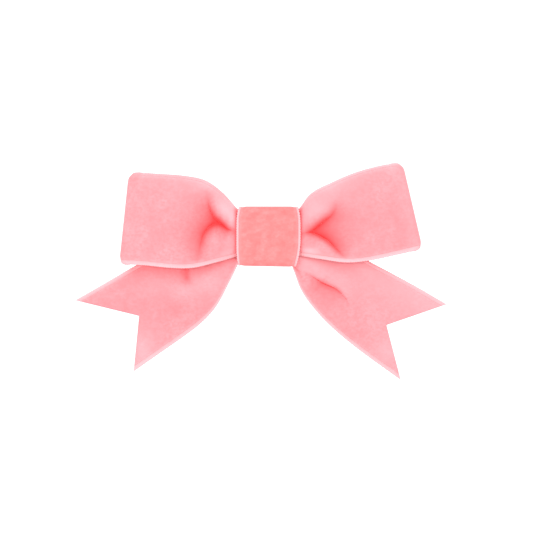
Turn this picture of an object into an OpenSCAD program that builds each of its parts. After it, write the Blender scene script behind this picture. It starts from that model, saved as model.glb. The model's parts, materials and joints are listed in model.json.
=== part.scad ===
// Velvet ribbon bow on an automatic hair barrette.
// Upright as worn: +X to the right seen from the front, the bow faces -Y,
// the head is on the +Y side. The origin is the middle of the clasp arm's flat back face.

/* [Bow] */
// Width of the velvet ribbon of the loops and tails
ribbon_w = 22; // [21:0.25:23]
// Thickness of the velvet ribbon
ribbon_t = 0.8; // [0.6:0.05:0.9]
// How far the front of each loop puffs out at its fullest
loop_puff = 2.4; // [1.5:0.1:4]
// Radius of the soft fold at the outer end of each loop
fold_r = 2.8; // [2.2:0.1:3]
// Depth of the V-cut in the left tail, as a share of the tail's length
left_cut = 0.18; // [0.1:0.01:0.22]
// Depth of the V-cut in the right tail, as a share of the tail's length
right_cut = 0.20; // [0.1:0.01:0.22]

/* [Centre wrap] */
// Width of the ribbon wrapped round the middle
wrap_w = 15.8; // [14:0.2:16]
// Height of the wrapped middle
wrap_h = 15.1; // [15:0.1:16]
// Thickness of the wrapped layer
wrap_t = 0.8; // [0.5:0.05:0.8]

/* [Clip] */
// Length of the base plate
plate_l = 59; // [59:0.5:64]
// Width of the base plate
plate_w = 7; // [7:0.1:7.4]
// Thickness of the base plate
plate_t = 0.8; // [0.6:0.05:0.8]
// Radius that the base plate is curved to
plate_r = 150; // [150:1:155]
// Width of the clasp arm
arm_w = 5; // [4.8:0.1:5]
// Thickness of the clasp arm
arm_t = 0.7; // [0.6:0.05:0.7]
// Length of the arm's flat back face
arm_flat = 44; // [42:0.5:44]
// Place along Y of the top of the tension bar's arch
bar_apex = -5.6; // [-5.8:0.05:-5.5]
// Thickness of the tension bar
bar_t = 0.35; // [0.3:0.05:0.4]
// Radius of the hinge pin
pin_r = 0.6; // [0.5:0.05:0.6]
// How far each catch barb stands over the arm's frame
barb = 0.5; // [0.4:0.05:0.5]

/* [Hidden] */

VELVET = [1, 0.70, 0.72];
WRAP = [0.98, 0.63, 0.63];
STEEL = [0.78, 0.78, 0.80];

// depths along Y of the layers in the knot
plate_y = -8.6;                       // inner face of the base plate at the middle
pad_t = 0.5;                          // glue pad
tail_y = -10.8;                       // middle of the gathered tail ribbon
loop_back_y = -11.8;                  // middle of the gathered back layer of the loops
loop_front_y = -15.2;                 // middle of the gathered front layer of the loops
loop_mid_y = -14.4;                   // middle plane of the loops' outer folds
wrap_front_y = -16.9;                 // front face of the wrap
tail_end_y = -9.6;                    // the tails' free ends

// outlines of the ribbon edges from the knot outwards, as [x, z], for a 22 mm ribbon
k = ribbon_w / 22;
LEFT_TOP = k * [[0, 5.5], [-7.9, 6.4], [-12, 10.7], [-16.3, 13.9],
    [-21.5, 15], [-28, 15.5], [-34.6, 16]];
LEFT_LOW = k * [[0, -4.2], [-7.9, -4.8], [-13.2, -6.3], [-18.8, -7.7],
    [-24.5, -7.7], [-30.5, -7.2], [-37.3, -6.5]];
RIGHT_TOP = k * [[0, 5.5], [7.9, 6.4], [11.5, 10.8], [16, 13.8],
    [21.5, 16.1], [27.2, 17.7], [33.3, 18.7]];
RIGHT_LOW = k * [[0, -4.2], [7.9, -4.5], [13.6, -5.4], [19.3, -6.4],
    [25.3, -5.9], [31.5, -4.7], [38.1, -3.2]];
TAIL_L_TOP = k * [[0, 3.2], [-7.9, 3.6], [-13, 2.6], [-20, -0.2],
    [-26.5, -3.5], [-32.9, -7.1], [-40.7, -11.7], [-48.5, -16.2]];
TAIL_L_LOW = k * [[0, -5.7], [-7.9, -6.3], [-10.3, -10.5], [-12.4, -15.8],
    [-16.1, -20.8], [-21.5, -24.8], [-27.5, -29.2], [-33.6, -33.7]];
TAIL_R_TOP = k * [[0, 3.2], [7.9, 3.4], [12.5, 2], [18, -2],
    [24.3, -6.1], [31, -9.8], [37.7, -13.5], [44.4, -17.1]];
TAIL_R_LOW = k * [[0, -5.7], [7.9, -6.3], [9, -12], [11.6, -17.6],
    [16.2, -22.7], [21.5, -27.2], [27, -31.2], [32.9, -35.4]];

// the ribbon's grid: places across its width from the lower edge, 0, to the upper edge, 1
ACROSS = [0, 0.06, 0.25, 0.5, 0.75, 0.94, 1];
layer_steps = 10;                     // rings along one layer of a loop
fold_steps = 8;                       // rings round an outer fold
tail_steps = 14;                      // rings along one tail
fold_share = 0.075;                   // share of a loop's reach taken by its fold
knot_share = 0.18;                    // share of a loop's reach that lies inside the wrap
corner_pull = 0.03;                   // how far the fold's corners draw in

// clip geometry
bend_y = plate_y + plate_r;           // centre of the base plate's curve
pin = [-27, -2.2];                    // hinge axis, along Z
run = 0.05;                           // running clearance on the pin
eye_w = 1.25;                         // wall from the pin's axis to the outside of an eye
ear_t = 0.7;                          // thickness of the base plate's hinge ears
slot_w = 2.6;                         // slot between the arm's two eyes
bar_r = 150;                          // radius of the tension bar's arch
bar_w = 4;                            // width of the tension bar
bar_x = [-19.5, 20];                  // ends of the arch
frame_y = -1.2;                       // top of the window frame at the arm's tip
frame_x = [23.3, 30.7];               // ends of the frame
frame_w = 7.2;                        // width of the frame
window_x = [24.3, 28.1];              // ends of the window
window_w = 5;                         // width of the window
leg_x = [24.6, 27.8];                 // sides of a catch leg
leg_z = [1.9, 2.4];                   // inner and outer face of a catch leg
leg_foot_y = -5.15;                   // bend line at the foot of a leg
leg_top_y = -0.5;                     // tip of a leg
toe_r = 0.3;                          // rounded toe on the bend line
finger_y = [-3.9, -3.4];              // faces of a finger ear
finger_z = 4.8;                       // how far a finger ear reaches
rivet_x = 26.2;                       // rivet axis, along Y
rivet_r = 0.8;                        // rivet shank

// Catmull-Rom curve through the points p, u from 0 to 1
function curve(p, u) =
    let (n = len(p) - 1, s = min(u * n, n - 0.0001), i = floor(s), f = s - i)
    let (a = p[max(i - 1, 0)], b = p[i], c = p[i + 1], d = p[min(i + 2, n)])
    0.5 * (2 * b + (c - a) * f + (2 * a - 5 * b + 4 * c - d) * f * f + (3 * b - a - 3 * c + d) * f * f * f);

// 0 below 0, 1 above 1, and a smooth rise between
function ease(x) = let (c = max(0, min(1, x))) c * c * (3 - 2 * c);

// one loop's profile as [reach, depth]: front layer out, round the fold, back layer in
function past_knot(t) = max(0, min(1, (t - knot_share) / (1 - fold_share - knot_share)));
function layer_front(t) = loop_front_y + (loop_mid_y - fold_r - loop_front_y) * ease(past_knot(t) / 0.4)
    - loop_puff * sin(180 * past_knot(t));
function layer_back(t) = loop_back_y + (loop_mid_y + fold_r - loop_back_y) * ease(past_knot(t));
function loop_profile() = concat(
    [for (i = [0:layer_steps]) let (t = i / layer_steps * (1 - fold_share)) [t, layer_front(t)]],
    [for (i = [1:fold_steps - 1]) let (a = 180 * i / fold_steps)
        [1 - fold_share + fold_share * sin(a), loop_mid_y - fold_r * cos(a)]],
    [for (i = [layer_steps:-1:0]) let (t = i / layer_steps * (1 - fold_share)) [t, layer_back(t)]]);

// a point on a loop, v across the ribbon from its lower edge to its upper edge
function loop_point(top, low, s, v) =
    let (e = max(0, (abs(2 * v - 1) - 0.7) / 0.3), t = s[0] * (1 - corner_pull * e * e * pow(s[0], 6)))
    let (p = curve(low, t) * (1 - v) + curve(top, t) * v) [p[0], s[1], p[1]];

// a point on a tail: the cut shortens it in the middle of its width
function tail_point(top, low, t, v, cut) =
    let (u = t * (1 - cut * (1 - abs(2 * v - 1))), p = curve(low, u) * (1 - v) + curve(top, u) * v)
    [p[0], tail_y + (tail_end_y - tail_y) * ease(t), p[1]];

// rings of a ribbon: each centre point is set off both ways along the profile's own normal
function unit(v) = v / norm(v);
function normal_at(rows, i, last) =
    let (a = rows[max(0, i - 1)][3], b = rows[min(last, i + 1)][3], d = unit([b[0] - a[0], b[1] - a[1]]))
    [-d[1], d[0], 0];
function ribbon_rings(rows) = [for (i = [0:len(rows) - 1])
    let (h = normal_at(rows, i, len(rows) - 1) * ribbon_t / 2)
    concat([for (p = rows[i]) p + h], [for (j = [len(ACROSS) - 1:-1:0]) rows[i][j] - h])];

// two triangles for each cell between ring i and ring j
function band(i, j, m) = [for (q = [0:m - 1]) let (r = (q + 1) % m)
    each [[i * m + q, j * m + q, j * m + r], [i * m + q, j * m + r, i * m + r]]];

// a ribbon through the rings, closed into a loop or capped at both ends
module ribbon(rows, closed) {
    rings = ribbon_rings(rows);
    m = 2 * len(ACROSS);
    n = len(rings);
    sides = [for (i = [0:n - 2]) each band(i, i + 1, m)];
    ends = closed ? band(n - 1, 0, m) : concat(cap(0, m, false), cap((n - 1) * m, m, true));
    polyhedron(points = [for (r = rings) each r], faces = concat(sides, ends), convexity = 10);
}

// the flat end of a ribbon, as a strip of cells
function cap(first, m, far) = [for (q = [0:m / 2 - 2])
    let (a = first + q, b = first + q + 1, c = first + m - 2 - q, d = first + m - 1 - q)
    each (far ? [[a, d, c], [a, c, b]] : [[a, c, d], [a, b, c]])];

// both loops, as one ring of ribbon that passes through the knot at the front and at the back
module loop_ribbon() {
    s = loop_profile();
    n = len(s) - 1;
    left = [for (i = [0:n]) [for (v = ACROSS) loop_point(LEFT_TOP, LEFT_LOW, s[i], v)]];
    right = [for (i = [n - 1:-1:1]) [for (v = ACROSS) loop_point(RIGHT_TOP, RIGHT_LOW, s[i], v)]];
    color(VELVET) ribbon(concat(left, right), true);
}

// both tails, as one length of ribbon with a V-cut at each end
module tail_ribbon() {
    left = [for (i = [tail_steps:-1:0]) [for (v = ACROSS)
        tail_point(TAIL_L_TOP, TAIL_L_LOW, i / tail_steps, v, left_cut)]];
    right = [for (i = [1:tail_steps]) [for (v = ACROSS)
        tail_point(TAIL_R_TOP, TAIL_R_LOW, i / tail_steps, v, right_cut)]];
    color(VELVET) ribbon(concat(left, right), false);
}

// outline of the wrap's inside, grown by g, as [depth, height]: full in front, narrow behind
module wrap_outline(g) {
    front_r = 0.8;
    back_r = 0.4;
    z = wrap_h / 2 - wrap_t;
    hull() for (side = [-1, 1]) {
        translate([wrap_front_y + wrap_t + front_r, side * (z - front_r)]) circle(front_r + g, $fn = 32);
        translate([-10.6, side * (z - back_r)]) circle(back_r + g, $fn = 32);
        translate([plate_y - 0.15, side * plate_w / 2]) circle(back_r + g, $fn = 32);
    }
}

// lays an outline given as [depth, height] across the bow, w wide along X about x
module across(x, w) {
    translate([x - w / 2, 0, 0]) rotate([90, 0, 90]) linear_extrude(w) children();
}

// the ribbon round the middle, with the bow's pinch and the base plate inside it
module centre_wrap() {
    color(WRAP) across(0, wrap_w) difference() {
        wrap_outline(wrap_t);
        wrap_outline(0);
    }
}

// three turns of thread round the pinched ribbons
module gather_thread() {
    thread_t = 0.35;
    low = [-15.98, -6.35];
    size = [5.95, 12.3];
    color("mistyrose") for (x = [-1.2, 0, 1.2]) across(x, thread_t) difference() {
        translate(low) square(size);
        translate(low + [thread_t, thread_t]) square(size - 2 * [thread_t, thread_t]);
    }
}

// a disc as wide as the plate's curve of radius r, thick enough to cut the whole clip
module bend_disc(r) {
    translate([0, bend_y, 0]) cylinder(h = 20, r = r, center = true, $fn = 720);
}

// strip between two radii of the plate's curve, from x0 to x1, w wide with corners of radius r
module bent_strip(r_in, t, x0, x1, w, r) {
    intersection() {
        difference() {
            bend_disc(r_in + t);
            bend_disc(r_in);
        }
        plan(x0, x1, w, r);
    }
}

// a rounded rectangle in the X-Z plane, drawn out along Y
module plan(x0, x1, w, r) {
    translate([0, -5, 0]) rotate([90, 0, 0]) linear_extrude(14, center = true) {
        translate([x0 + r, -w / 2]) square([x1 - x0 - 2 * r, w]);
        translate([x0, -w / 2 + r]) square([x1 - x0, w - 2 * r]);
        for (x = [x0 + r, x1 - r], z = [-w / 2 + r, w / 2 - r]) translate([x, z]) circle(r, $fn = 48);
    }
}

// adhesive between the bow and the plate
module glue_pad() {
    color("ivory") bent_strip(plate_r + plate_t, pad_t, -17, 17, 6, 2);
}

// curved strip with the two hinge ears, two lacing holes and the rivet hole
module base_plate() {
    half = plate_l / 2;
    color(STEEL) difference() {
        union() {
            bent_strip(plate_r, plate_t, -half, half, plate_w, 1.5);
            hinge_ear(plate_w / 2 - ear_t);
            hinge_ear(-plate_w / 2);
        }
        translate([pin[0], pin[1], 0]) cylinder(h = 20, r = pin_r, center = true, $fn = 48);
        for (x = [-21, 21]) along_y(x, -9, -6) circle(0.8, $fn = 48);
        along_y(rivet_x, -9, -5) circle(rivet_r, $fn = 48);
    }
}

// draws children along Y from y0 to y1, at x and z = 0
module along_y(x, y0, y1) {
    translate([x, y1, 0]) rotate([90, 0, 0]) linear_extrude(y1 - y0) children();
}

// one ear, from z up by its thickness, with its foot inside the plate
module hinge_ear(z) {
    ear_r = eye_w + 0.05;
    translate([0, 0, z]) linear_extrude(ear_t) {
        translate(pin) circle(ear_r, $fn = 48);
        polygon([[pin[0] - ear_r, pin[1]], [pin[0] + ear_r, pin[1]], [-24.9, -6.8], [-29, -6.2]]);
    }
}

// riveted pin with a head outside each ear
module hinge_pin() {
    head_t = 0.35;
    head_r = 1;
    color(STEEL) translate([pin[0], pin[1], 0]) {
        cylinder(h = plate_w, r = pin_r, center = true, $fn = 48);
        for (side = [-1, 1]) translate([0, 0, side * (plate_w + head_t) / 2])
            cylinder(h = head_t, r = head_r, center = true, $fn = 48);
    }
}

// the arm's side outline: neck at the hinge, flat back, joggle down to the frame
module arm_side() {
    f = arm_flat / 2;
    polygon([[pin[0], pin[1] + eye_w], [-f, 0], [f, 0], [f + 1.3, frame_y], [f + 2.1, frame_y],
        [f + 2.1, frame_y - arm_t], [f + 0.9, frame_y - arm_t], [f - 0.4, -arm_t], [-f + 0.2, -arm_t],
        [pin[0] + 0.8, -1.6], [pin[0], -1.6]]);
}

// hinged arm with two eyes on the pin and a window frame with a lifted lip at its tip
module clasp_arm() {
    color(STEEL) difference() {
        union() {
            linear_extrude(arm_w, center = true) {
                arm_side();
                translate(pin) circle(eye_w, $fn = 48);
            }
            intersection() {
                linear_extrude(frame_w, center = true) polygon([[frame_x[0], frame_y], [29.4, frame_y],
                    [30.4, frame_y + 0.65], [frame_x[1], frame_y + 0.1], [29.7, frame_y - arm_t],
                    [frame_x[0], frame_y - arm_t]]);
                plan(frame_x[0], frame_x[1], frame_w, 1.5);
            }
        }
        translate([pin[0], pin[1], 0]) cylinder(h = 20, r = pin_r + run, center = true, $fn = 48);
        translate([-29, -6, -slot_w / 2]) cube([29 - 25.2, 7, slot_w]);
        translate([window_x[0], -4, -window_w / 2]) cube([window_x[1] - window_x[0], 4, window_w]);
    }
}

// spring strip: an eye on the pin, a neck and a long arch towards the arm
module tension_bar() {
    start = [bar_x[0], bar_apex - bar_r + sqrt(bar_r * bar_r - bar_x[0] * bar_x[0])];
    root = [pin[0] + 0.1, pin[1] - 0.95];
    side = unit([root[1] - start[1], start[0] - root[0]]) * bar_t / 2;
    bar_eye_w = 2.2;
    color(STEEL) {
        difference() {
            linear_extrude(bar_eye_w, center = true) {
                translate(pin) circle(1.15, $fn = 48);
                polygon([root + side, start + side, start - side, root - side]);
            }
            translate([pin[0], pin[1], 0]) cylinder(h = 20, r = pin_r + run, center = true, $fn = 48);
        }
        intersection() {
            translate([0, bar_apex - bar_r, 0]) difference() {
                cylinder(h = bar_w, r = bar_r, center = true, $fn = 720);
                cylinder(h = 2 * bar_w, r = bar_r - bar_t, center = true, $fn = 720);
            }
            plan(bar_x[0] - 0.1, bar_x[1], bar_w, 1.2);
        }
    }
}

// foot of the catch: a curved pad on the plate with two short upstands
module catch_bracket() {
    bracket_t = 0.5;
    color(STEEL) difference() {
        union() {
            bent_strip(plate_r - bracket_t, bracket_t, 23.2, 28.6, 5.8, 0.8);
            intersection() {
                bend_disc(plate_r - bracket_t / 2);
                for (z = [leg_z[0], -leg_z[1]]) translate([leg_x[0], -7, z])
                    cube([leg_x[1] - leg_x[0], 7 + leg_foot_y - toe_r - 0.08, leg_z[1] - leg_z[0]]);
            }
        }
        along_y(rivet_x, -9, -4) circle(rivet_r, $fn = 48);
    }
}

// rivet through the plate and the catch, with a head on each side
module catch_rivet() {
    head_r = 1.3;
    color(STEEL) {
        along_y(rivet_x, -7.35, -5.3) circle(rivet_r, $fn = 48);
        intersection() {
            along_y(rivet_x, -7, -5.3) circle(head_r, $fn = 48);
            bend_disc(plate_r - 0.5);
        }
        difference() {
            along_y(rivet_x, -7.6, -6.5) circle(head_r, $fn = 48);
            bend_disc(plate_r + plate_t);
        }
    }
}

// one sprung leg with its finger ear and barb, on a round toe at the bend line
module catch_prong() {
    x = (leg_x[0] + leg_x[1]) / 2;
    w = leg_x[1] - leg_x[0];
    color(STEEL) union() {
        across(x, w) leg_outline();
        across(x, w) translate([leg_foot_y, (leg_z[0] + leg_z[1]) / 2]) circle(toe_r, $fn = 32);
    }
}

// the leg, ear and barb as [depth, height]
module leg_outline() {
    polygon([[leg_foot_y, leg_z[0]], [leg_foot_y, leg_z[1]], [finger_y[0], leg_z[1]],
        [finger_y[0], finger_z], [finger_y[1], finger_z], [finger_y[1], leg_z[1]],
        [frame_y + 0.1, leg_z[1]], [frame_y + 0.1, leg_z[1] + barb], [leg_top_y, leg_z[1]],
        [leg_top_y, leg_z[0]]]);
}

module catch_prong_upper() {
    catch_prong();
}

module catch_prong_lower() {
    mirror([0, 0, 1]) catch_prong();
}

loop_ribbon();
tail_ribbon();
centre_wrap();
gather_thread();
glue_pad();
base_plate();
hinge_pin();
clasp_arm();
tension_bar();
catch_bracket();
catch_rivet();
catch_prong_upper();
catch_prong_lower();
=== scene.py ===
import json
import math

import bpy
import numpy as np
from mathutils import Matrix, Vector


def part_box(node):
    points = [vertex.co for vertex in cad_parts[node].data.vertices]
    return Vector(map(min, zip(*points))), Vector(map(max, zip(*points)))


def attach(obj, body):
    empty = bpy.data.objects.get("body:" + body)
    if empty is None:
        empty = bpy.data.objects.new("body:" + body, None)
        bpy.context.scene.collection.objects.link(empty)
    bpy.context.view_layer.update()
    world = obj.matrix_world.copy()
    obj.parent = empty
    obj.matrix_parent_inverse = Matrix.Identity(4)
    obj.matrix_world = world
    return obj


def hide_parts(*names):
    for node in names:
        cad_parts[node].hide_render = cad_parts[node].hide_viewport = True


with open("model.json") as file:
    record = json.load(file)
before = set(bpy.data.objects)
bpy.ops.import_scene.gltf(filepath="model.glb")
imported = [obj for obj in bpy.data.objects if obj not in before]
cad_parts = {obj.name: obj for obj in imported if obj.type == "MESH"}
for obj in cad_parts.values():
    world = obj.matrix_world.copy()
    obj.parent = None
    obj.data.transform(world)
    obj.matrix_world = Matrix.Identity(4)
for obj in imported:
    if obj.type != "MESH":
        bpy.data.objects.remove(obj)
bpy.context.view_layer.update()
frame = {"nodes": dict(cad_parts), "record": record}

# Sizes below are in millimetres in the CAD frame; a mesh is scaled to metres when it is made.
MM = 0.001

# ---------------------------------------------------------------- driving sizes

wrap_low, wrap_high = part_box("centre_wrap")
plate_low, plate_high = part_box("base_plate")
WRAP_HALF = (wrap_high.x - wrap_low.x) / 2 / MM      # half width of the wrap
WRAP_TOP = wrap_high.z / MM                          # half height of the wrap
WRAP_FRONT = wrap_low.y / MM                         # front face of the wrap
WRAP_BACK = wrap_high.y / MM                         # back face of the wrap
PLATE_HALF = (plate_high.z - plate_low.z) / 2 / MM   # half width of the base plate

RIBBON_T = 0.7          # velvet ribbon with its pile
SELVAGE = 0.042         # share of the ribbon's width taken by each woven edge
SELVAGE_T = 0.42        # thickness of a woven edge
BEAD_PITCH = 0.62       # spacing of the little loops along a woven edge
KNOT_SHARE = 1 / 6      # share of a loop's reach inside the wrap
FOLD_SHARE = 0.075      # share of a loop's reach in its outer fold
FOLD_R = 2.5            # half the outer fold's depth
FOLD_PALE = (0.88, 0.1) # where along the loop its end is painted paler by painted light, and over what share of it
FRONT_Y = -15.2         # gathered front layer in the knot
BACK_Y = -11.75         # gathered back layer in the knot
FOLD_MID_Y = -14.4      # middle plane of the outer folds
FOLD_SQUARE = 0.72      # how square the outer folds are: 1 is round, less is squarer
CORNER_R = (2.4, 1.8)   # how round the fold's upper and lower corners are
LOOP_REACH = 38.0       # a loop's length from the knot's middle
TAIL_Y = -10.8          # gathered tail ribbon in the knot
TAIL_END_Y = -9.6       # the tails' free ends
TAIL_GROWTH = 1.008     # the tails' outlines are this much larger about VIEW_MIDDLE
VIEW_MIDDLE = (-0.5, -7.5)
BACK_LIFT = 0.13        # share of the width that a loop's back layer leaves free above the tail
BILLOW = 2.7            # how far a tail comes forward below the loop
RIBBON_W = 22.0         # flat width of the ribbon
UPPER_RIM = 0.975       # share of the width where a loop's upper edge curls away
LOOP_GRID = (143, 26)   # rows of points in each layer of a loop's velvet, and round its fold
LOOP_EDGE_GRID = (310, 60)
WRAP_EDGE = 0.032       # share of the wrap's width taken by each woven edge
WRAP_EDGE_LAP = 0.038   # the same, with the part that lies under the velvet

# The V-cut of each tail: its depth as a share of the tail, and the share of the width its notch is at.
LEFT_CUT = (0.167, 0.482)
RIGHT_CUT = (0.188, 0.431)

# Outlines of the ribbon's edges from the knot outwards, as (x, z).
LEFT_TOP = [(0, 5.1), (-7.9, 6.8), (-11.6, 10.9), (-15.8, 13.85), (-21.0, 15.0), (-28, 15.6),
            (-34.7, 16.0)]
LEFT_LOW = [(0, -4.4), (-7.9, -4.8), (-13.4, -6.4), (-19.0, -7.75), (-24.5, -7.75), (-31, -7.1),
            (-37.1, -6.75)]
RIGHT_TOP = [(0, 5.1), (7.9, 7.0), (10.8, 10.7), (15.8, 13.35), (21.2, 15.65), (27.0, 17.4),
             (33.3, 18.5)]
RIGHT_LOW = [(0, -4.4), (7.9, -4.65), (13.4, -5.55), (19.3, -6.4), (25.3, -5.9), (31.5, -4.6),
             (38.3, -3.0)]
TAIL_L_TOP = [(0, 3.2), (-7.9, 3.6), (-13, 2.6), (-20, -0.2), (-26.5, -3.5), (-32.9, -7.1),
              (-40.7, -11.6), (-48.4, -16.0)]
TAIL_L_LOW = [(0, -5.4), (-7.7, -6.75), (-9.95, -11.6), (-13.05, -17.3), (-16.85, -21.5),
              (-21.2, -24.9), (-27.2, -29.1), (-33.8, -33.7)]
TAIL_R_TOP = [(0, 3.2), (7.9, 3.4), (12.5, 2), (18, -2), (24.4, -5.9), (31.2, -9.5),
              (37.9, -13.1), (44.6, -17.0)]
TAIL_R_LOW = [(0, -5.4), (5.9, -7.05), (8.15, -13.2), (11.75, -18.3), (16.3, -23.0),
              (21.3, -27.2), (26.8, -31.3), (33.1, -35.8)]

# Crease lines (x, z) from the knot outwards. The loops' creases make a V whose inside is the face
# of the loop, and whose outside is the two cheeks beside the knot.
LEFT_UPPER = [(-7.9, 1.0), (-9.2, 1.5), (-10.6, 2.1), (-12.1, 3.4), (-13.7, 5.0), (-14.6, 7.0),
              (-15.1, 9.2), (-15.6, 12.0)]
LEFT_LOWER = [(-7.9, 1.0), (-9.2, 1.5), (-10.6, 2.1), (-12.0, 3.1), (-13.2, 3.3), (-14.4, 2.7),
              (-15.5, 1.6), (-16.4, 0.1), (-17.0, -2.2), (-17.5, -4.6), (-17.9, -6.8)]
RIGHT_UPPER = [(7.9, 0.5), (9.4, 0.9), (10.9, 1.5), (12.4, 2.7), (14.1, 4.1), (15.6, 5.2),
               (16.6, 6.7), (17.3, 9.0)]
RIGHT_LOWER = [(7.9, 0.5), (9.4, 0.9), (10.9, 0.75), (12.6, 0.05), (14.2, -0.85), (15.6, -2.0),
               (16.8, -3.2), (18.2, -4.6), (19.6, -6.0)]
TAIL_DIMPLE = [(-20.6, -6.4), (-20.5, -8.4), (-20.3, -10.4), (-20.1, -12.6)]
TAIL_RIDGE = [(7.2, -7.8), (9.4, -8.8), (11.6, -10.0), (13.6, -11.2), (15.6, -12.1), (17.4, -13.0),
              (18.8, -14.4), (20.1, -16.3), (21.2, -18.6)]
TAIL_HOLLOW = [(13.4, -11.2), (12.5, -12.5), (11.6, -13.6), (10.6, -14.6)]
TAIL_TUCK = [(6.5, -7.2), (7.3, -8.4), (8.2, -9.8), (8.9, -11.2)]

# Each crease: its line, the side of it that the loop's face lies on (1 is the line's left going
# outwards), the reach of its depth towards the face and towards the cheek, how dark its painted shade
# is, the reach of that painted shade on the cheek, how pale its painted light makes the cheek, and the
# reach of that. Reaches are in mm.
LEFT_CREASES = [(LEFT_UPPER, 1, 2.6, 0.8, 1.15, 1.75, 1.4, 7.0),
                (LEFT_LOWER, -1, 3.0, 1.2, 1.2, 1.9, 0.5, 5.5)]
RIGHT_CREASES = [(RIGHT_UPPER, -1, 2.8, 1.1, 1.15, 1.15, 0.7, 7.0),
                 (RIGHT_LOWER, 1, 2.8, 0.55, 1.2, 0.9, 1.0, 2.4)]
NARROW_SHADE = (0.53, 0.9)       # a crease's dark core of painted shade: its strength, and its reach on the face in mm
BROAD_SHADE = (0.52, 5.2)        # the soft painted shade round it, the same
CHEEK_CROWN = (0.33, 1.4)        # the cheek's rise as a share of the depth, and how far off it peaks in mm
PALE_START = 3.2                 # distance over which a cheek's painted light makes it pale
WRAP_SHADE = (0.45, 0.8)         # the painted shade beside the wrap: its strength, and its reach in mm


# ---------------------------------------------------------------- curves and fields

def spline(points, u, corner=None):
    """Catmull-Rom curve through the points, for an array u from 0 to 1, sharp at the corner's number."""
    p = np.array(points, float)
    last = len(p) - 1
    s = np.clip(np.asarray(u, float) * last, 0, last - 1e-6)
    i = np.floor(s).astype(int)
    f = (s - i)[..., None]
    a, b = p[np.maximum(i - 1, 0)], p[i]
    c, d = p[i + 1], p[np.minimum(i + 2, last)]
    a = np.where((i == corner)[..., None], 2 * b - c, a)
    d = np.where((i + 1 == corner)[..., None], 2 * c - b, d)
    return 0.5 * (2 * b + (c - a) * f + (2 * a - 5 * b + 4 * c - d) * f**2 + (3 * b - a - 3 * c + d) * f**3)


def ease(x):
    c = np.clip(x, 0, 1)
    return c * c * (3 - 2 * c)


def smooth_interp(x, rows, column):
    """Smooth curve through the rows' (first, column) values, by easing the slope at each point."""
    xs = np.array([r[0] for r in rows], float)
    ys = np.array([r[column] for r in rows], float)
    slopes = np.gradient(ys, xs)
    x = np.clip(x, xs[0], xs[-1])
    i = np.clip(np.searchsorted(xs, x, side="right") - 1, 0, len(xs) - 2)
    h = xs[i + 1] - xs[i]
    f = (x - xs[i]) / h
    left = ys[i] * (1 + 2 * f) * (1 - f) ** 2 + slopes[i] * h * f * (1 - f) ** 2
    return left + ys[i + 1] * f * f * (3 - 2 * f) + slopes[i + 1] * h * f * f * (f - 1)


def outline(top, low, t, v):
    """Place (x, z) at reach t and share v of the width, 0 at the lower edge and 1 at the upper.

    The outline has a corner where it leaves the wrap, which is its second point.
    """
    return spline(low, t, 1) * (1 - v)[..., None] + spline(top, t, 1) * v[..., None]


def from_line(x, z, line, samples=90):
    """Signed distance from a line, positive on its left going outwards, and the share along it."""
    path = spline(line, np.linspace(0, 1, samples))
    start, step = path[:-1], np.diff(path, axis=0)
    dx = x[..., None] - start[:, 0]
    dz = z[..., None] - start[:, 1]
    f = np.clip((dx * step[:, 0] + dz * step[:, 1]) / (step**2).sum(1), 0, 1)
    gap = np.hypot(dx - f * step[:, 0], dz - f * step[:, 1])
    near = gap.argmin(-1)[..., None]
    side = np.take_along_axis(step[:, 0] * dz - step[:, 1] * dx, near, -1)[..., 0]
    distance = np.take_along_axis(gap, near, -1)[..., 0] * np.where(side < 0, -1, 1)
    return distance, (near[..., 0] + np.take_along_axis(f, near, -1)[..., 0]) / (samples - 1)


def falloff(distance, left, right, power=1.5):
    """1 on a line, dying away over `left` mm on its left and `right` mm on its right."""
    return np.exp(-(np.abs(distance) / np.where(distance > 0, left, right)) ** power)


def both(a, b):
    """Smooth maximum of two fields that aren't negative."""
    return (a**3 + b**3) ** (1 / 3)


# ---------------------------------------------------------------- loops

DOME = [(0, 0.2), (0.07, 1.2), (0.16, 2.3), (0.3, 3.1), (0.5, 3.3), (0.7, 3.0), (0.88, 2.3), (1, 1.7)]
DEPTH = [(0, 0.4), (0.14, 1.1), (0.28, 2.2), (0.42, 2.5), (0.6, 2.0), (0.78, 1.1), (0.92, 0.3), (1, 0)]
SHADE = [(0, 0.2), (0.14, 0.5), (0.28, 0.88), (0.4, 1.0), (0.55, 0.95), (0.7, 0.84), (0.85, 0.54), (1, 0.06)]


def past_knot(t):
    return np.clip((t - KNOT_SHARE) / (1 - FOLD_SHARE - KNOT_SHARE), 0, 1)


def crease(x, z, line, face_side, face, cheek, dark, cheek_shade_reach, pale, pale_reach):
    """A loop's crease: its depth in mm, its painted shade, and the raised cheek beside it, made paler by
    painted light.
    """
    distance, along = from_line(x, z, line)
    distance = distance * face_side
    depth = smooth_interp(along, DEPTH, 1)
    deep = depth * falloff(distance, face, cheek, 1.2)
    # Painted shade along the crease, and painted light that makes the cheek beside it paler.
    cheek_reach = cheek_shade_reach * (0.5 + 0.5 * ease((along - 0.1) / 0.4))
    narrow = NARROW_SHADE[0] * falloff(distance, NARROW_SHADE[1], cheek_reach, 1.0)
    broad = BROAD_SHADE[0] * falloff(distance, BROAD_SHADE[1], cheek_reach, 1.9)
    painted_shading = dark * smooth_interp(along, SHADE, 1) * (narrow + broad)
    beside = np.maximum(-distance, 0)
    rise, peak = CHEEK_CROWN
    crown = beside / peak * np.exp(1 - beside / peak)
    light = pale * ease(beside / PALE_START) * np.exp(-(beside / pale_reach) ** 2) * ease((1 - along) / 0.4)
    return deep, painted_shading, rise * depth * crown, light


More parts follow.
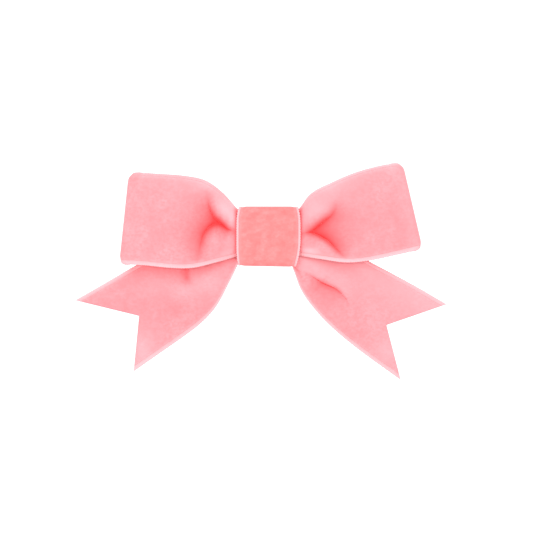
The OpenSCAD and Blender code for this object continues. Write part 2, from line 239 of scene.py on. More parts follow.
def front_relief(t, v, x, z, creases, ridge):
    """How far the front layer stands forward of the knot, in mm, and its painted shade and painted light.

    The two creases sink into a dome. The layer's edges are drawn in near the knot and roll back.
    """
    s = past_knot(t)
    deep_a, shade_a, crown_a, pale_a = crease(x, z, *creases[0])
    deep_b, shade_b, crown_b, pale_b = crease(x, z, *creases[1])
    lobes = 0.5 * (1 - ease(s / 0.45)) * np.abs(2 * v - 1) ** 3
    turned = (0.2 + 0.85 * ease(s / 0.14)) * (1 - ease(s / 0.5)) + 0.35 * (1 - s)
    roll = turned * np.clip((np.abs(2 * v - 1) - 0.6) / 0.4, 0, 1) ** 2
    opened = ease(s / 0.12)
    crown = blurred(crown_a + crown_b, False, 4, 4)
    pale = blurred(np.maximum(pale_a, pale_b), False, 4, 4)
    relief = smooth_interp(s, DOME, 1) + (crown - both(deep_a, deep_b)) * opened - lobes - roll
    # Painted light: the strip by the upper edge is painted paler, and the ridge by the lower edge gets a
    # painted highlight.
    shoulder = ease((s - 0.2) / 0.2) * (1 - ease((s - 0.35) / 0.5))
    upper_edge_light = (0.3 + 0.2 * shoulder) * np.exp(-(1 - v) * RIBBON_W / (2.2 + 3 * shoulder))
    lower_ridge_highlight = ridge * np.exp(-((v * RIBBON_W - 1.8) / 1.3) ** 2) * (1 - ease((s - 0.1) / 0.16))
    # Painted shade on the loop beside the wrap.
    wrap_shade_strength, wrap_reach = WRAP_SHADE
    by_wrap = np.exp(-((np.abs(x) - WRAP_HALF) / wrap_reach) ** 2)
    painted_shading = both(both(shade_a, shade_b), wrap_shade_strength * by_wrap * ease((v - 0.05) / 0.3))
    return relief, painted_shading - (pale + upper_edge_light + lower_ridge_highlight) * (1 - 0.8 * by_wrap)


def back_relief(t, v):
    """How far the back layer lies forward of its plane: two soft pleats that fade outwards."""
    s = past_knot(t)
    return 0.5 - 0.5 * np.cos(4 * np.pi * v) * (1 - ease(s / 0.4)) - 0.3 * ease(s / 0.6)


def kept_edges(v, s):
    """Shares of the width, eased so that the woven edges stay as wide where the ribbon is gathered."""
    wider = 0.9 * (1 - ease(s / 0.6))
    return v + wider * (v * np.exp(-v / 0.1) - (1 - v) * np.exp((v - 1) / 0.1))


def loop_side(top, low, creases, stations, v, curl, pale_end, ridge):
    """One loop's rows of points, front layer out, round the fold and back in, and their painted shading.

    Its upper edge curls back by `curl` mm. Its outer end is painted paler, as painted light, by
    `pale_end`, and the strip by its lower edge, beside the knot, gets a painted highlight of `ridge`.
    """
    layer, turn = stations
    reach = 1 - FOLD_SHARE
    front_t = np.linspace(0, reach, layer)
    angle = np.linspace(0, np.pi, turn + 2)[1:-1]
    fold_t = reach + FOLD_SHARE * np.sin(angle) ** FOLD_SQUARE
    t = np.concatenate([front_t, fold_t, front_t[::-1]])
    tt, vv = np.meshgrid(t, v, indexing="ij")
    radius = np.where(vv > 0.5, *CORNER_R)
    edge = np.clip(1 - np.minimum(vv, 1 - vv) * RIBBON_W / radius, 0, 1)
    pulled = tt * (1 - radius / LOOP_REACH * (1 - np.sqrt(1 - edge**2)) * tt**10)
    a, b = layer, layer + turn
    lifted = kept_edges(vv, past_knot(tt))
    lifted[b:] += BACK_LIFT * (1 - vv[b:]) ** 2 * (1 - ease((tt[b:] - 0.55) / 0.35))
    xz = outline(top, low, pulled, lifted)
    x, z = xz[..., 0], xz[..., 1]
    y = np.empty_like(tt)
    painted_shading = np.zeros_like(tt)
    relief, painted_shading[:a] = front_relief(tt[:a], vv[:a], x[:a], z[:a], creases, ridge)
    y[:a] = FRONT_Y - relief
    # Painted light: the outer end of the loop is painted paler.
    painted_shading[:b] -= pale_end * ease((tt[:b] - FOLD_PALE[0]) / FOLD_PALE[1])
    y[a:b] = FOLD_MID_Y - FOLD_R * (np.sign(np.cos(angle)) * np.abs(np.cos(angle)) ** FOLD_SQUARE)[:, None]
    y[b:] = BACK_Y - 0.2 * (1 - past_knot(tt[b:])) - back_relief(tt[b:], vv[b:]) * (1 - past_knot(tt[b:]))
    y[b:] += (FOLD_MID_Y + FOLD_R - BACK_Y) * past_knot(tt[b:])
    y[:a] += curl * np.clip((vv[:a] - UPPER_RIM) / (1 - UPPER_RIM), 0, 1) * ease((0.86 - tt[:a]) / 0.2)
    return np.stack([x, y, z], -1), painted_shading


def loop_points(stations, v):
    """The whole ring: the left loop from the front of the knot, then the right one back to it."""
    left = loop_side(LEFT_TOP, LEFT_LOW, LEFT_CREASES, stations, v, 0.4, 0.05, 0.4)
    right = loop_side(RIGHT_TOP, RIGHT_LOW, RIGHT_CREASES, stations, v, 0.3, 0.18, 1.0)
    return [np.concatenate([a, b[-2:0:-1]]) for a, b in zip(left, right)]


# ---------------------------------------------------------------- tails

def patch(x, z, middle, reach):
    """A soft round patch: 1 at its middle, dying away over its reach each way."""
    return np.exp(-((x - middle[0]) / reach[0]) ** 2 - ((z - middle[1]) / reach[1]) ** 2)


def tail_left(t, v, x, z):
    """Soft gathers that fan out from the knot, and a short dimple under the loop, with painted shade in the
    dimple and one patch and painted light on other patches.
    """
    distance, along = from_line(x, z, TAIL_DIMPLE)
    dimple = (1 - ease((along - 0.6) / 0.4)) * falloff(distance, 0.8, 1.6, 2.0)
    fade = 1 - ease((t - 0.1) / 0.45)
    gathers = 0.4 * fade * np.cos(2 * np.pi * (v * 2.2 + 0.1))
    # Painted light: these patches are painted paler; the last term is a patch of painted shade.
    lit = 0.75 * patch(x, z, (-15.5, -11.0), (5, 4)) + 0.45 * patch(x, z, (-21.5, -13.6), (3.2, 2.0))
    lit += 0.6 * patch(x, z, (-28.0, -12.2), (6.5, 3.4)) + 1.0 * patch(x, z, (-32.0, -29.0), (3.5, 5.0))
    return gathers - 0.8 * dimple, 0.55 * dimple - 0.4 * lit + 0.1 * patch(x, z, (-22.0, -20.0), (4.5, 4.0))


def tail_right(t, v, x, z):
    """One sharp pleat that runs out from the corner of the knot, and a small tuck below it, with painted
    shade in them and painted light beside them.
    """
    distance, along = from_line(x, z, TAIL_RIDGE)
    fade = ease((along - 0.05) / 0.4) * (1 - ease((along - 0.5) / 0.5))
    deep = fade * falloff(distance, 0.25, 2.6, 1.2)
    crown = fade * np.maximum(distance, 0) / 1.5 * np.exp(1 - np.maximum(distance, 0) / 1.5)
    tuck_at, tuck_along = from_line(x, z, TAIL_TUCK)
    tuck = (1 - tuck_along) * falloff(tuck_at, 0.5, 0.5)
    # Painted shade along the pleat, in the tuck and in the hollow.
    painted_shading = both(fade * (0.3 * falloff(distance, 0.3, 1.2) + 0.3 * falloff(distance, 0.3, 4.0)), 0.35 * tuck)
    hollow_at, hollow_along = from_line(x, z, TAIL_HOLLOW)
    fold = (1 - hollow_along) * falloff(hollow_at, 1.6, 0.7)
    ahead = np.exp(-(np.maximum(distance, 0) / 5) ** 2) * (distance > 0)
    # Painted light ahead of the pleat, along the upper edge towards the tip, on a patch near the tip and on
    # the pleat's crown.
    lit = 0.2 * ahead * (1 - ease((along - 0.7) / 0.3))
    lit += 0.37 * falloff(from_line(x, z, TAIL_R_TOP)[0], 8, 8, 2) * ease((x - 17) / 9)
    lit += 0.35 * patch(x, z, (30.5, -29.5), (4, 4))
    return 0.7 * crown - 1.3 * deep - 0.6 * tuck - 0.4 * fold, both(painted_shading, 0.4 * fold) - 0.12 * crown - lit


def spline_z(line, x):
    """Height of a line at x."""
    path = spline(line, np.linspace(0, 1, 60))
    order = np.argsort(path[:, 0])
    return np.interp(x, path[order, 0], path[order, 1])


def fishtail(top, low, cut, notch, v):
    """The two straight cuts of a tail's end, from its tips to its notch."""
    shares = np.array([0, notch, 1])
    corners = outline(top, low, np.array([1, 1 - cut, 1]), shares)
    return np.stack([np.interp(v, shares, corners[:, k]) for k in (0, 1)], -1)


def tail_side(top, low, loop_edge, under, v_cut, relief, t, v):
    """One tail's rows of points out to its fishtail cut, and their painted shading.

    It comes from behind the loop's lower edge and billows a little forward below it, where painted
    light makes it paler by `under`.
    """
    cut, notch = v_cut
    tt, vv = np.meshgrid(t, v, indexing="ij")
    u = tt * (1 - cut * np.minimum(vv / notch, (1 - vv) / (1 - notch)))
    xz = outline(top, low, u, vv)
    xz = xz + (fishtail(top, low, cut, notch, v) - xz[-1]) * ease((tt - 0.6) / 0.4)[..., None]
    xz = VIEW_MIDDLE + (xz - VIEW_MIDDLE) * TAIL_GROWTH
    x, z = xz[..., 0], xz[..., 1]
    wave = 0.5 * np.sin(np.pi * (2.2 * tt + vv)) * ease((tt - 0.35) / 0.3)
    height, painted_shading = relief(u, vv, x, z)
    below = np.abs(from_line(x, z, loop_edge)[0]) * np.where(z < spline_z(loop_edge, x), 1, -1)
    billow = BILLOW * ease((below + 1.4) / 1.8) * np.exp(-(below / 9) ** 2) * (1 - ease((tt - 0.55) / 0.4))
    height = height + billow * ease((tt - 0.105) / 0.05)
    # Painted light below the loop's edge.
    painted_shading = painted_shading - under * np.exp(-(below / 2.6) ** 2)
    y = TAIL_Y + (TAIL_END_Y - TAIL_Y) * ease(tt) - height * ease(tt / 0.12) + wave
    return np.stack([x, y, z], -1), painted_shading


def tail_points(stations, v):
    t = np.linspace(0, 1, stations)
    left = tail_side(TAIL_L_TOP, TAIL_L_LOW, LEFT_LOW, 0.1, LEFT_CUT, tail_left, t, v)
    right = tail_side(TAIL_R_TOP, TAIL_R_LOW, RIGHT_LOW, 0.5, RIGHT_CUT, tail_right, t, v)
    return [np.concatenate([b[::-1], a[1:]]) for a, b in zip(left, right)]


# ---------------------------------------------------------------- wrap

def wrap_section(count):
    """Closed outline of the wrap's middle line as (y, z): full in front, narrow behind the plate."""
    inset = RIBBON_T / 2
    top = WRAP_TOP - inset
    corners = [(WRAP_FRONT + inset, top, 1.7), (-10.4, top, 0.9),
               (WRAP_BACK - inset, PLATE_HALF + 0.5, 0.9)]
    corners += [(y, -z, r) for y, z, r in corners[::-1]]
    line = []
    for i, (y, z, r) in enumerate(corners):
        here = np.array([y, z])
        before = np.array(corners[i - 1][:2]) - here
        after = np.array(corners[(i + 1) % len(corners)][:2]) - here
        start = here + before / np.linalg.norm(before) * r
        end = here + after / np.linalg.norm(after) * r
        for f in np.linspace(0, 1, 9):
            line.append(start * (1 - f) ** 2 + here * 2 * f * (1 - f) + end * f * f)
    line = np.array(line + [line[0]])
    along = np.concatenate([[0], np.cumsum(np.linalg.norm(np.diff(line, axis=0), axis=1))])
    even = np.linspace(0, along[-1], count, endpoint=False)
    return np.stack([np.interp(even, along, line[:, k]) for k in (0, 1)], -1)


def wrap_points(count, v):
    section = wrap_section(count)
    y, z = section[:, :1], section[:, 1:]
    height = np.clip(z / WRAP_TOP, -1, 1)
    up, down = np.maximum(height, 0), np.maximum(-height, 0)
    left = -WRAP_HALF + 0.9 * up**5 + 0.5 * down**4
    right = WRAP_HALF - 0.9 * up**5 - 1.25 * down**2.3
    x = left * (1 - v) + right * v
    crown = 0.25 * (1 - (2 * v - 1) ** 2) * (y < -12)
    z = np.where(z < 0, z * (0.968 + 0.036 * v), z)
    return [np.stack([x, y - crown, z], -1), np.zeros_like(x)]


# ---------------------------------------------------------------- ribbon meshes

def normals_of(grid, closed):
    along = np.roll(grid, -1, 0) - np.roll(grid, 1, 0) if closed else np.gradient(grid, axis=0)
    n = np.cross(np.gradient(grid, axis=1), along)
    return n / np.maximum(np.linalg.norm(n, axis=2, keepdims=True), 1e-9)


def blurred(field, closed, along, across):
    """Box blur, repeated, of a field over a ribbon's grid."""
    for _ in range(3):
        pad = np.pad(field, ((along, along), (0, 0)), mode="wrap" if closed else "edge")
        field = sum(pad[i:i + field.shape[0]] for i in range(2 * along + 1)) / (2 * along + 1)
        pad = np.pad(field, ((0, 0), (across, across)), mode="edge")
        field = sum(pad[:, i:i + field.shape[1]] for i in range(2 * across + 1)) / (2 * across + 1)
    return field


def hollow(grid, closed, along, across):
    """How deep each point lies below its surroundings, in mm, along the ribbon's own normal."""
    n = normals_of(grid, closed)
    mean = np.stack([blurred(grid[..., k], closed, along, across) for k in range(3)], -1)
    return np.sum((mean - grid) * n, -1)


def grid_mesh(name, front, back, closed, fields):
    """A closed skin: the front grid, the back grid and the rim between them."""
    n, m = front.shape[:2]
    index = np.arange(n * m).reshape(n, m)
    rows = np.concatenate([index, index[:1]]) if closed else index
    a, b, c, d = rows[:-1, :-1], rows[1:, :-1], rows[1:, 1:], rows[:-1, 1:]
    face = np.stack([a, b, c, d], -1).reshape(-1, 4)
    rear = face[:, ::-1] + n * m
    low = np.stack([rows[1:, 0], rows[:-1, 0], rows[:-1, 0] + n * m, rows[1:, 0] + n * m], -1)
    high = np.stack([rows[:-1, -1], rows[1:, -1], rows[1:, -1] + n * m, rows[:-1, -1] + n * m], -1)
    quads = [face, rear, low, high]
    if not closed:
        first, last = index[0], index[-1]
        quads.append(np.stack([first[:-1], first[1:], first[1:] + n * m, first[:-1] + n * m], -1))
        quads.append(np.stack([last[1:], last[:-1], last[:-1] + n * m, last[1:] + n * m], -1))
    points = np.concatenate([front.reshape(-1, 3), back.reshape(-1, 3)]) * MM
    mesh = bpy.data.meshes.new(name)
    mesh.from_pydata(points.tolist(), [], np.concatenate(quads).tolist())
    part = np.zeros(len(mesh.polygons), np.int32)
    part[len(face):2 * len(face)] = 1
    mesh.polygons.foreach_set("material_index", part)
    mesh.polygons.foreach_set("use_smooth", np.ones(len(mesh.polygons), bool))
    for key, values in fields.items():
        layer = mesh.attributes.new(key, "FLOAT", "POINT")
        layer.data.foreach_set("value", np.concatenate([values.ravel(), values.ravel()]).astype(np.float32))
    mesh.update()
    piece = bpy.data.objects.new(name, mesh)
    bpy.context.scene.collection.objects.link(piece)
    return piece


def ribbon_piece(name, strip, closed, reach=(9, 6)):
    """A velvet strip that thins to its woven edges, with its folds' depth, which the velvet turns into
    painted shade, and its painted shading.
    """
    grid, painted_shading = strip
    side = np.linalg.norm(np.diff(grid, axis=1), axis=2)
    from_low = np.concatenate([np.zeros((len(grid), 1)), np.cumsum(side, axis=1)], axis=1)
    from_edge = np.minimum(from_low, from_low[:, -1:] - from_low)
    thick = SELVAGE_T + (RIBBON_T - SELVAGE_T) * ease(from_edge / 1.2)
    half = normals_of(grid, closed) * thick[..., None] / 2
    # The depth of the hollows becomes painted shade in the velvet.
    depth = np.clip(hollow(grid, closed, *reach), -3, 3)
    rim = 0.3 * np.exp(-from_edge / 0.5)
    return grid_mesh(name, grid + half, grid - half, closed, {"fold": depth, "painted_shading": painted_shading, "rim": rim})


def selvage_piece(name, strips):
    """The woven edges: thin strips with a row of little loops along their outer side.

    Each strip is (points and painted shading, closed, outer side first, how large its loops are, how
    pale it is left and right).
    """
    parts = []
    for k, ((grid, painted_shading), closed, outer_first, loops, fade) in enumerate(strips):
        n = normals_of(grid, closed)
        middle = grid[:, grid.shape[1] // 2]
        along = np.concatenate([[0], np.cumsum(np.linalg.norm(np.diff(middle, axis=0), axis=1))])
        bead = loops * np.abs(np.sin(np.pi * along / BEAD_PITCH))[:, None]
        across = np.linspace(0, 1, grid.shape[1])[None]
        outer = 1 - across if outer_first else across
        thick = SELVAGE_T * (0.72 + 0.5 * np.sin(np.pi * across) + 0.55 * bead * outer * (1 - outer * 0.3))
        side = grid[:, :1] - grid[:, -1:] if outer_first else grid[:, -1:] - grid[:, :1]
        side = side / np.maximum(np.linalg.norm(side, axis=2, keepdims=True), 1e-9)
        line = grid + side * (0.16 * bead * outer)[..., None]
        half = n * thick[..., None] / 2
        shown = np.where(grid[..., 0] < 0, *fade)
        # The woven edges carry most of the ribbon's painted shading.
        fields = {"fold": 0 * thick, "painted_shading": 0.8 * painted_shading, "rim": 0.3 + (shown - 0.3) * outer}
        parts.append(grid_mesh(f"{name}_{k}", line + half, line - half, closed, fields))
    return joined(name, parts)


def joined(name, parts):
    bpy.ops.object.select_all(action="DESELECT")
    for part in parts:
        part.select_set(True)
    bpy.context.view_layer.objects.active = parts[0]
    bpy.ops.object.join()
    piece = bpy.context.view_layer.objects.active
    piece.name = name
    return piece


# ---------------------------------------------------------------- materials

def material(name):
    mat = bpy.data.materials.new(name)
    mat.use_nodes = True
    tree = mat.node_tree
    return mat, tree, tree.nodes["Principled BSDF"]


def node(tree, kind, **values):
    made = tree.nodes.new(kind)
    for key, value in values.items():
        if key in made.inputs:
            made.inputs[key].default_value = value
        else:
            setattr(made, key, value)
    return made


def noise_from(tree, scale, detail=3.0, rough=0.5, stretch=(1, 1, 1)):
    place = node(tree, "ShaderNodeTexCoord")
    mapping = node(tree, "ShaderNodeMapping")
    mapping.inputs["Scale"].default_value = stretch
    tree.links.new(place.outputs["Object"], mapping.inputs["Vector"])
    made = node(tree, "ShaderNodeTexNoise", Scale=scale, Detail=detail, Roughness=rough)
    tree.links.new(mapping.outputs["Vector"], made.inputs["Vector"])
    return made.outputs["Fac"]


def ramp(tree, source, low, high, start, end):
    """Maps source from low..high to start..end, clamped."""
    made = node(tree, "ShaderNodeMapRange", clamp=True)
    tree.links.new(source, made.inputs["Value"])
    made.inputs["From Min"].default_value = low
    made.inputs["From Max"].default_value = high
    made.inputs["To Min"].default_value = start
    made.inputs["To Max"].default_value = end
    return made.outputs["Result"]


def mix(tree, factor, a, b):
    made = node(tree, "ShaderNodeMix", data_type="RGBA")
    tree.links.new(factor, made.inputs[0])
    for value, socket in ((a, made.inputs[6]), (b, made.inputs[7])):
        if isinstance(value, tuple):
            socket.default_value = (*value, 1)
        else:
            tree.links.new(value, socket)
    return made.outputs[2]


def bump(tree, shader, height, strength, distance):
    made = node(tree, "ShaderNodeBump", Strength=strength, Distance=distance)
    tree.links.new(height, made.inputs["Height"])
    tree.links.new(made.outputs["Normal"], shader.inputs["Normal"])


def shaded(tree, colour, amount):
    """The colour made lighter, or darker where the amount is below 0, by that share."""
    made = node(tree, "ShaderNodeHueSaturation")
    value = node(tree, "ShaderNodeMath", operation="ADD")
    value.inputs[0].default_value = 1.0
    tree.links.new(amount, value.inputs[1])
    tree.links.new(value.outputs[0], made.inputs["Value"])
    tree.links.new(colour, made.inputs["Color"])
    return made.outputs["Color"]


def attribute(tree, name):
    return node(tree, "ShaderNodeAttribute", attribute_name=name).outputs["Fac"]


def velvet(name, face, deep, pale, edge, mottle, streak):
    """Short-pile velvet: mottled nap, painted shade in deeper red down in the folds and creases, painted
    light in paler pink, worn to its weave at the edge.
    """
    mat, tree, shader = material(name)
    nap = ramp(tree, noise_from(tree, 170, 4, 0.6, streak), 0.3, 0.7, 0, 1)
    cloth = mix(tree, nap, face, tuple(0.75 * f + 0.25 * p for f, p in zip(face, pale)))
    blotch = ramp(tree, noise_from(tree, 75, 3, 0.6), 0.4, 0.7, 0, 0.85)
    cloth = mix(tree, blotch, cloth, tuple(0.84 * f + 0.16 * d for f, d in zip(face, deep)))
    spots = ramp(tree, noise_from(tree, 420, 3, 0.65, streak), 0.35, 0.65, -mottle, mottle)
    cloth = shaded(tree, cloth, spots)
    tufts = ramp(tree, noise_from(tree, 1500, 2, 0.6, (0.75, 1, 1)), 0.35, 0.65, -0.15, 0.65)
    cloth = mix(tree, tufts, cloth, tuple(0.8 * f + 0.2 * d for f, d in zip(face, deep)))
    # Painted shade: deeper red in the hollows and where the shading is above 0. Painted light: paler pink
    # where it is below 0.
    painted_shading = attribute(tree, "painted_shading")
    cloth = mix(tree, ramp(tree, attribute(tree, "fold"), 0.15, 1.3, 0, 0.25), cloth, deep)
    cloth = mix(tree, ramp(tree, painted_shading, 0, -1, 0, 1), cloth, pale)
    cloth = mix(tree, ramp(tree, painted_shading, 0, 1, 0, 1), cloth, deep)
    cloth = mix(tree, ramp(tree, attribute(tree, "rim"), 0.05, 0.95, 0, 1), cloth, edge)
    tree.links.new(cloth, shader.inputs["Base Color"])
    shader.inputs["Roughness"].default_value = 0.92
    shader.inputs["Specular IOR Level"].default_value = 0.15
    shader.inputs["Sheen Weight"].default_value = 0.3
    shader.inputs["Sheen Roughness"].default_value = 0.4
    shader.inputs["Sheen Tint"].default_value = (1, 0.82, 0.84, 1)
    bump(tree, shader, noise_from(tree, 5200, 2, 0.7), 0.35, 0.00012)
    return mat


def woven(name, colour, dark, scale, sheen):
    """Plain woven cloth: the ribbon's back and the thread."""
    mat, tree, shader = material(name)
    place = node(tree, "ShaderNodeTexCoord")
    warp = node(tree, "ShaderNodeTexWave", Scale=scale, Distortion=0.6, Detail=1.0, bands_direction="X")
    weft = node(tree, "ShaderNodeTexWave", Scale=scale, Distortion=0.6, Detail=1.0, bands_direction="Z")
    weave = node(tree, "ShaderNodeMath", operation="MULTIPLY")
    for wave, socket in ((warp, weave.inputs[0]), (weft, weave.inputs[1])):
        tree.links.new(place.outputs["Object"], wave.inputs["Vector"])
        tree.links.new(wave.outputs["Fac"], socket)
    cloth = mix(tree, ramp(tree, weave.outputs[0], 0, 1, 0, 0.5), colour, dark)
    cloth = mix(tree, ramp(tree, noise_from(tree, 220), 0.35, 0.7, 0, 0.35), cloth, dark)
    tree.links.new(cloth, shader.inputs["Base Color"])
    shader.inputs["Roughness"].default_value = 0.7
    shader.inputs["Sheen Weight"].default_value = sheen
    shader.inputs["Sheen Tint"].default_value = (1, 0.9, 0.9, 1)
    bump(tree, shader, weave.outputs[0], 0.4, 0.0001)
    return mat


def steel(name, colour, rough, stretch):
    """Nickel-plated steel: fine brushing along the strip and faint smudges."""
    mat, tree, shader = material(name)
    brushed = noise_from(tree, 900, 5, 0.6, stretch)
    smudge = noise_from(tree, 120, 3, 0.6)
    tone = mix(tree, ramp(tree, smudge, 0.35, 0.75, 0, 1), colour, tuple(0.86 * c for c in colour))
    tree.links.new(tone, shader.inputs["Base Color"])
    shader.inputs["Metallic"].default_value = 1.0
    tree.links.new(ramp(tree, brushed, 0.3, 0.7, rough - 0.07, rough + 0.12), shader.inputs["Roughness"])
    bump(tree, shader, brushed, 0.12, 0.00004)
    return mat


def hot_melt(name, colour):
    """Set hot-melt glue: milky, slightly glossy and clouded, with a fine bumpy surface."""
    mat, tree, shader = material(name)
    cloud = ramp(tree, noise_from(tree, 500, 3, 0.6), 0.35, 0.7, 0, 1)
    tree.links.new(mix(tree, cloud, colour, tuple(0.86 * c for c in colour)), shader.inputs["Base Color"])
    shader.inputs["Roughness"].default_value = 0.35
    shader.inputs["Subsurface Weight"].default_value = 0.4
    shader.inputs["Subsurface Scale"].default_value = 0.001
    bump(tree, shader, noise_from(tree, 1800, 2, 0.5), 0.3, 0.0001)
    return mat


# The face colour is the velvet's own. The deep red colours are painted shade in folds and creases and also
# tone the random nap; the ribbon's paler pink is painted light and also tones the nap.
FACE = (0.93, 0.245, 0.268)
SHADE_AND_NAP_RED = (0.92, 0.055, 0.06)
LIGHT_AND_NAP_PINK = (0.96, 0.42, 0.455)
EDGE_PALE = (0.96, 0.45, 0.48)
WRAP_FACE = (0.93, 0.195, 0.195)
WRAP_SHADE_AND_NAP_RED = (0.92, 0.13, 0.12)
WRAP_PALE = (0.95, 0.27, 0.27)
VELVET = velvet("velvet_pink", FACE, SHADE_AND_NAP_RED, LIGHT_AND_NAP_PINK, EDGE_PALE, 0.05, (1, 1, 1))
WRAP_VELVET = velvet("velvet_wrap", WRAP_FACE, WRAP_SHADE_AND_NAP_RED, WRAP_PALE, EDGE_PALE, 0.16, (1, 1, 1.3))
BACKING = woven("ribbon_backing", (0.93, 0.42, 0.45), (0.85, 0.30, 0.33), 900, 0.2)
THREAD = woven("gather_thread", (0.9, 0.5, 0.53), (0.8, 0.38, 0.42), 2600, 0.2)
NICKEL = steel("nickel_plate", (0.46, 0.455, 0.445), 0.26, (0.05, 1, 1))
SPRING = steel("spring_strip", (0.38, 0.385, 0.39), 0.3, (0.05, 1, 1))
GLUE = hot_melt("hot_melt_glue", (0.93, 0.90, 0.82))


def dressed(piece, replaced, body, slot, *materials):
    for mat in materials:
        piece.data.materials.append(mat)
    for name in replaced:
        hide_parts(name)
    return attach(piece, body)


# ---------------------------------------------------------------- cloth pieces

ROOT = "bow_and_plate"
LOWER_EDGE = np.linspace(0, SELVAGE * 1.15, 6)
TAIL_INNER = np.linspace(SELVAGE, 1 - SELVAGE, 72)
LOOP_INNER = np.linspace(SELVAGE, UPPER_RIM, 80)


def make_loops():
    ribbon = ribbon_piece("loop_ribbon_velvet", loop_points(LOOP_GRID, LOOP_INNER), True, (6, 5))
    upper = np.linspace(UPPER_RIM - 0.004, 1, 6)
    edges = [(loop_points(LOOP_EDGE_GRID, LOWER_EDGE), True, True, 0.8, (0.85, 0.9)),
             (loop_points(LOOP_EDGE_GRID, upper), True, False, 0.4, (0.3, 0.6))]
    selvage = selvage_piece("loop_ribbon_selvage", edges)
    dressed(ribbon, ["loop_ribbon"], ROOT, "velvet", VELVET, BACKING)
    dressed(selvage, [], ROOT, "velvet", VELVET, VELVET)


def make_tails():
    ribbon = ribbon_piece("tail_ribbon_velvet", tail_points(150, TAIL_INNER), False, (7, 5))
    upper = 1 - LOWER_EDGE[::-1]
    edges = [(tail_points(400, LOWER_EDGE), False, True, 0.7, (0.75, 0.7)),
             (tail_points(400, upper), False, False, 0.7, (0.75, 0.6))]
    selvage = selvage_piece("tail_ribbon_selvage", edges)
    dressed(ribbon, ["tail_ribbon"], ROOT, "velvet", VELVET, BACKING)
    dressed(selvage, [], ROOT, "velvet", VELVET, VELVET)


def make_wrap():
    inner = np.linspace(WRAP_EDGE, 1 - WRAP_EDGE, 32)
    ribbon = ribbon_piece("centre_wrap_velvet", wrap_points(220, inner), True)
    low = np.linspace(0, WRAP_EDGE_LAP, 5)
    edges = [(wrap_points(420, low), True, True, 1, (1, 1)),
             (wrap_points(420, 1 - low[::-1]), True, False, 1, (1, 1))]
    selvage = selvage_piece("centre_wrap_selvage", edges)
    dressed(ribbon, ["centre_wrap"], ROOT, "wrap_velvet", WRAP_VELVET, BACKING)
    dressed(selvage, [], ROOT, "wrap_velvet", WRAP_VELVET, WRAP_VELVET)


def box_of(name):
    """A CAD node's middle and half sizes, in mm."""
    low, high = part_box(name)
    return (np.array(low) + np.array(high)) / 2 / MM, (np.array(high) - np.array(low)) / 2 / MM


def make_thread():
    """The thread is wound side by side round the gathered ribbons."""
    middle, half = box_of("gather_thread")
    radius, squareness = 0.17, 0.42
    turns = int((2 * half[0] - 2 * radius) / (2.1 * radius))
    angle = np.linspace(0, 2 * np.pi * turns, 72 * turns)
    c, s = np.cos(angle), np.sin(angle)
    wobble = 0.04 * np.sin(2.7 * angle)
    x = middle[0] - half[0] + radius + (2 * half[0] - 2 * radius) * angle / angle[-1] + wobble
    y = middle[1] + (half[1] - radius + 0.12) * np.sign(c) * np.abs(c) ** squareness
    z = middle[2] + (half[2] - radius) * np.sign(s) * np.abs(s) ** squareness
    curve = bpy.data.curves.new("gather_thread_wound", "CURVE")
    curve.dimensions = "3D"
    curve.bevel_depth = radius * MM
    curve.bevel_resolution = 2
    curve.use_fill_caps = True
    line = curve.splines.new("POLY")
    line.points.add(len(x) - 1)
    points = np.stack([x * MM, y * MM, z * MM, np.ones_like(x)], -1)
    line.points.foreach_set("co", points.ravel())
    wound = bpy.data.objects.new("gather_thread_wound", curve)
    bpy.context.scene.collection.objects.link(wound)
    bpy.ops.object.select_all(action="DESELECT")
    wound.select_set(True)
    bpy.context.view_layer.objects.active = wound
    bpy.ops.object.convert(target="MESH")
    dressed(bpy.context.view_layer.objects.active, ["gather_thread"], ROOT, "thread", THREAD)


def make_glue():
    """A pressed bead of glue with an uneven outline and rounded rims.

    It follows the plate's curve, and in the middle it fills the gap to the gathered ribbons.
    """
    middle, half = box_of("glue_pad")
    pad_t, gap, gap_reach = 0.5, 0.42, 7.0
    around = np.linspace(0, 2 * np.pi, 96, endpoint=False)[:, None]
    across = np.linspace(0, 1, 14)[None]
    ragged = 0.93 + 0.04 * np.sin(3 * around + 1) + 0.03 * np.sin(7 * around)
    c, s = np.cos(around), np.sin(around)
    x = middle[0] + half[0] * ragged * across * np.sign(c) * np.abs(c) ** 0.6
    z = middle[2] + half[2] * ragged * across * np.sign(s) * np.abs(s) ** 0.6
    plate = middle[1] - half[1] + pad_t + (2 * half[1] - pad_t) * (x / half[0]) ** 2
    rim = np.sqrt(np.clip(1 - across**6, 0, 1)) + 0 * around
    lumps = 0.06 * np.sin(2.1 * x) * np.cos(1.7 * z)
    near = plate - (pad_t + gap * np.exp(-(x / gap_reach) ** 2)) * rim * (0.95 + lumps)
    front = np.stack([x, near, z], -1)
    back = np.stack([x, plate - 0.02, z], -1)
    piece = grid_mesh("glue_pad_bead", front, back, True, {})
    dressed(piece, ["glue_pad"], ROOT, "glue", GLUE, GLUE)


def dress_frame():
    slots = {"nickel_steel": NICKEL, "spring_steel": SPRING}
    for row in frame["record"]["subparts"]:
        obj = frame["nodes"][row["node"]]
        if row["material_slot"] in slots and not obj.hide_render:
            obj.data.materials.clear()
            obj.data.materials.append(slots[row["material_slot"]])


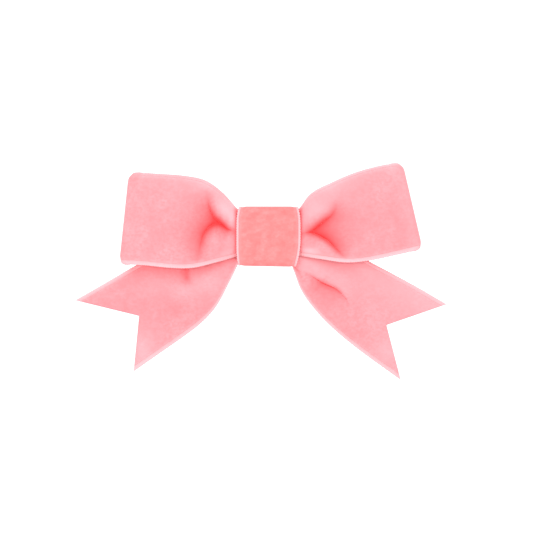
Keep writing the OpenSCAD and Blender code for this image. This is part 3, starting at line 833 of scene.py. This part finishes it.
# ---------------------------------------------------------------- stage

LENS = 150                                  # long, as the photograph shows little perspective
VIEW_WIDTH = 0.13325                        # what the picture is wide at the bow's middle depth, in m
BOW_MIDDLE = (-0.0005, -0.0165, -0.0075)    # the point that the camera looks at
FLOOR_Z = -0.13
FLOOR_R = 0.28
WORLD_STRENGTH = 1.3
KEY_POWER = 1.9
KEY_SIZE = 0.3


def make_camera():
    data = bpy.data.cameras.new("camera")
    data.lens = LENS
    camera = bpy.data.objects.new("camera", data)
    distance = VIEW_WIDTH * LENS / data.sensor_width
    x, y, z = BOW_MIDDLE
    camera.location = (x, y - distance, z)
    camera.rotation_euler = (math.radians(90), 0, 0)
    data.clip_start = 0.01
    bpy.context.scene.collection.objects.link(camera)
    bpy.context.scene.camera = camera


def area_light(name, place, target, size, power):
    data = bpy.data.lights.new(name, "AREA")
    data.shape = "SQUARE"
    data.size = size
    data.energy = power
    lamp = bpy.data.objects.new(name, data)
    lamp.location = place
    lamp.rotation_euler = (Vector(target) - Vector(place)).to_track_quat("-Z", "Y").to_euler()
    bpy.context.scene.collection.objects.link(lamp)


def make_stage():
    bpy.ops.mesh.primitive_circle_add(vertices=96, radius=FLOOR_R, fill_type="NGON",
                                      location=(0, 0, FLOOR_Z))
    floor = bpy.context.object
    floor.name = "floor"
    mat, _, shader = material("floor_white")
    shader.inputs["Base Color"].default_value = (0.95, 0.95, 0.95, 1)
    shader.inputs["Roughness"].default_value = 0.9
    floor.data.materials.append(mat)
    world = bpy.data.worlds.new("studio")
    bpy.context.scene.world = world
    world.use_nodes = True
    world.node_tree.nodes["Background"].inputs["Color"].default_value = (1, 1, 1, 1)
    world.node_tree.nodes["Background"].inputs["Strength"].default_value = WORLD_STRENGTH
    area_light("key", (-0.08, -0.58, 0.26), (0, -0.014, -0.008), KEY_SIZE, KEY_POWER)
    bpy.context.scene.view_settings.view_transform = "Standard"


make_camera()
make_loops()
make_tails()
make_wrap()
make_thread()
make_glue()
dress_frame()
make_stage()
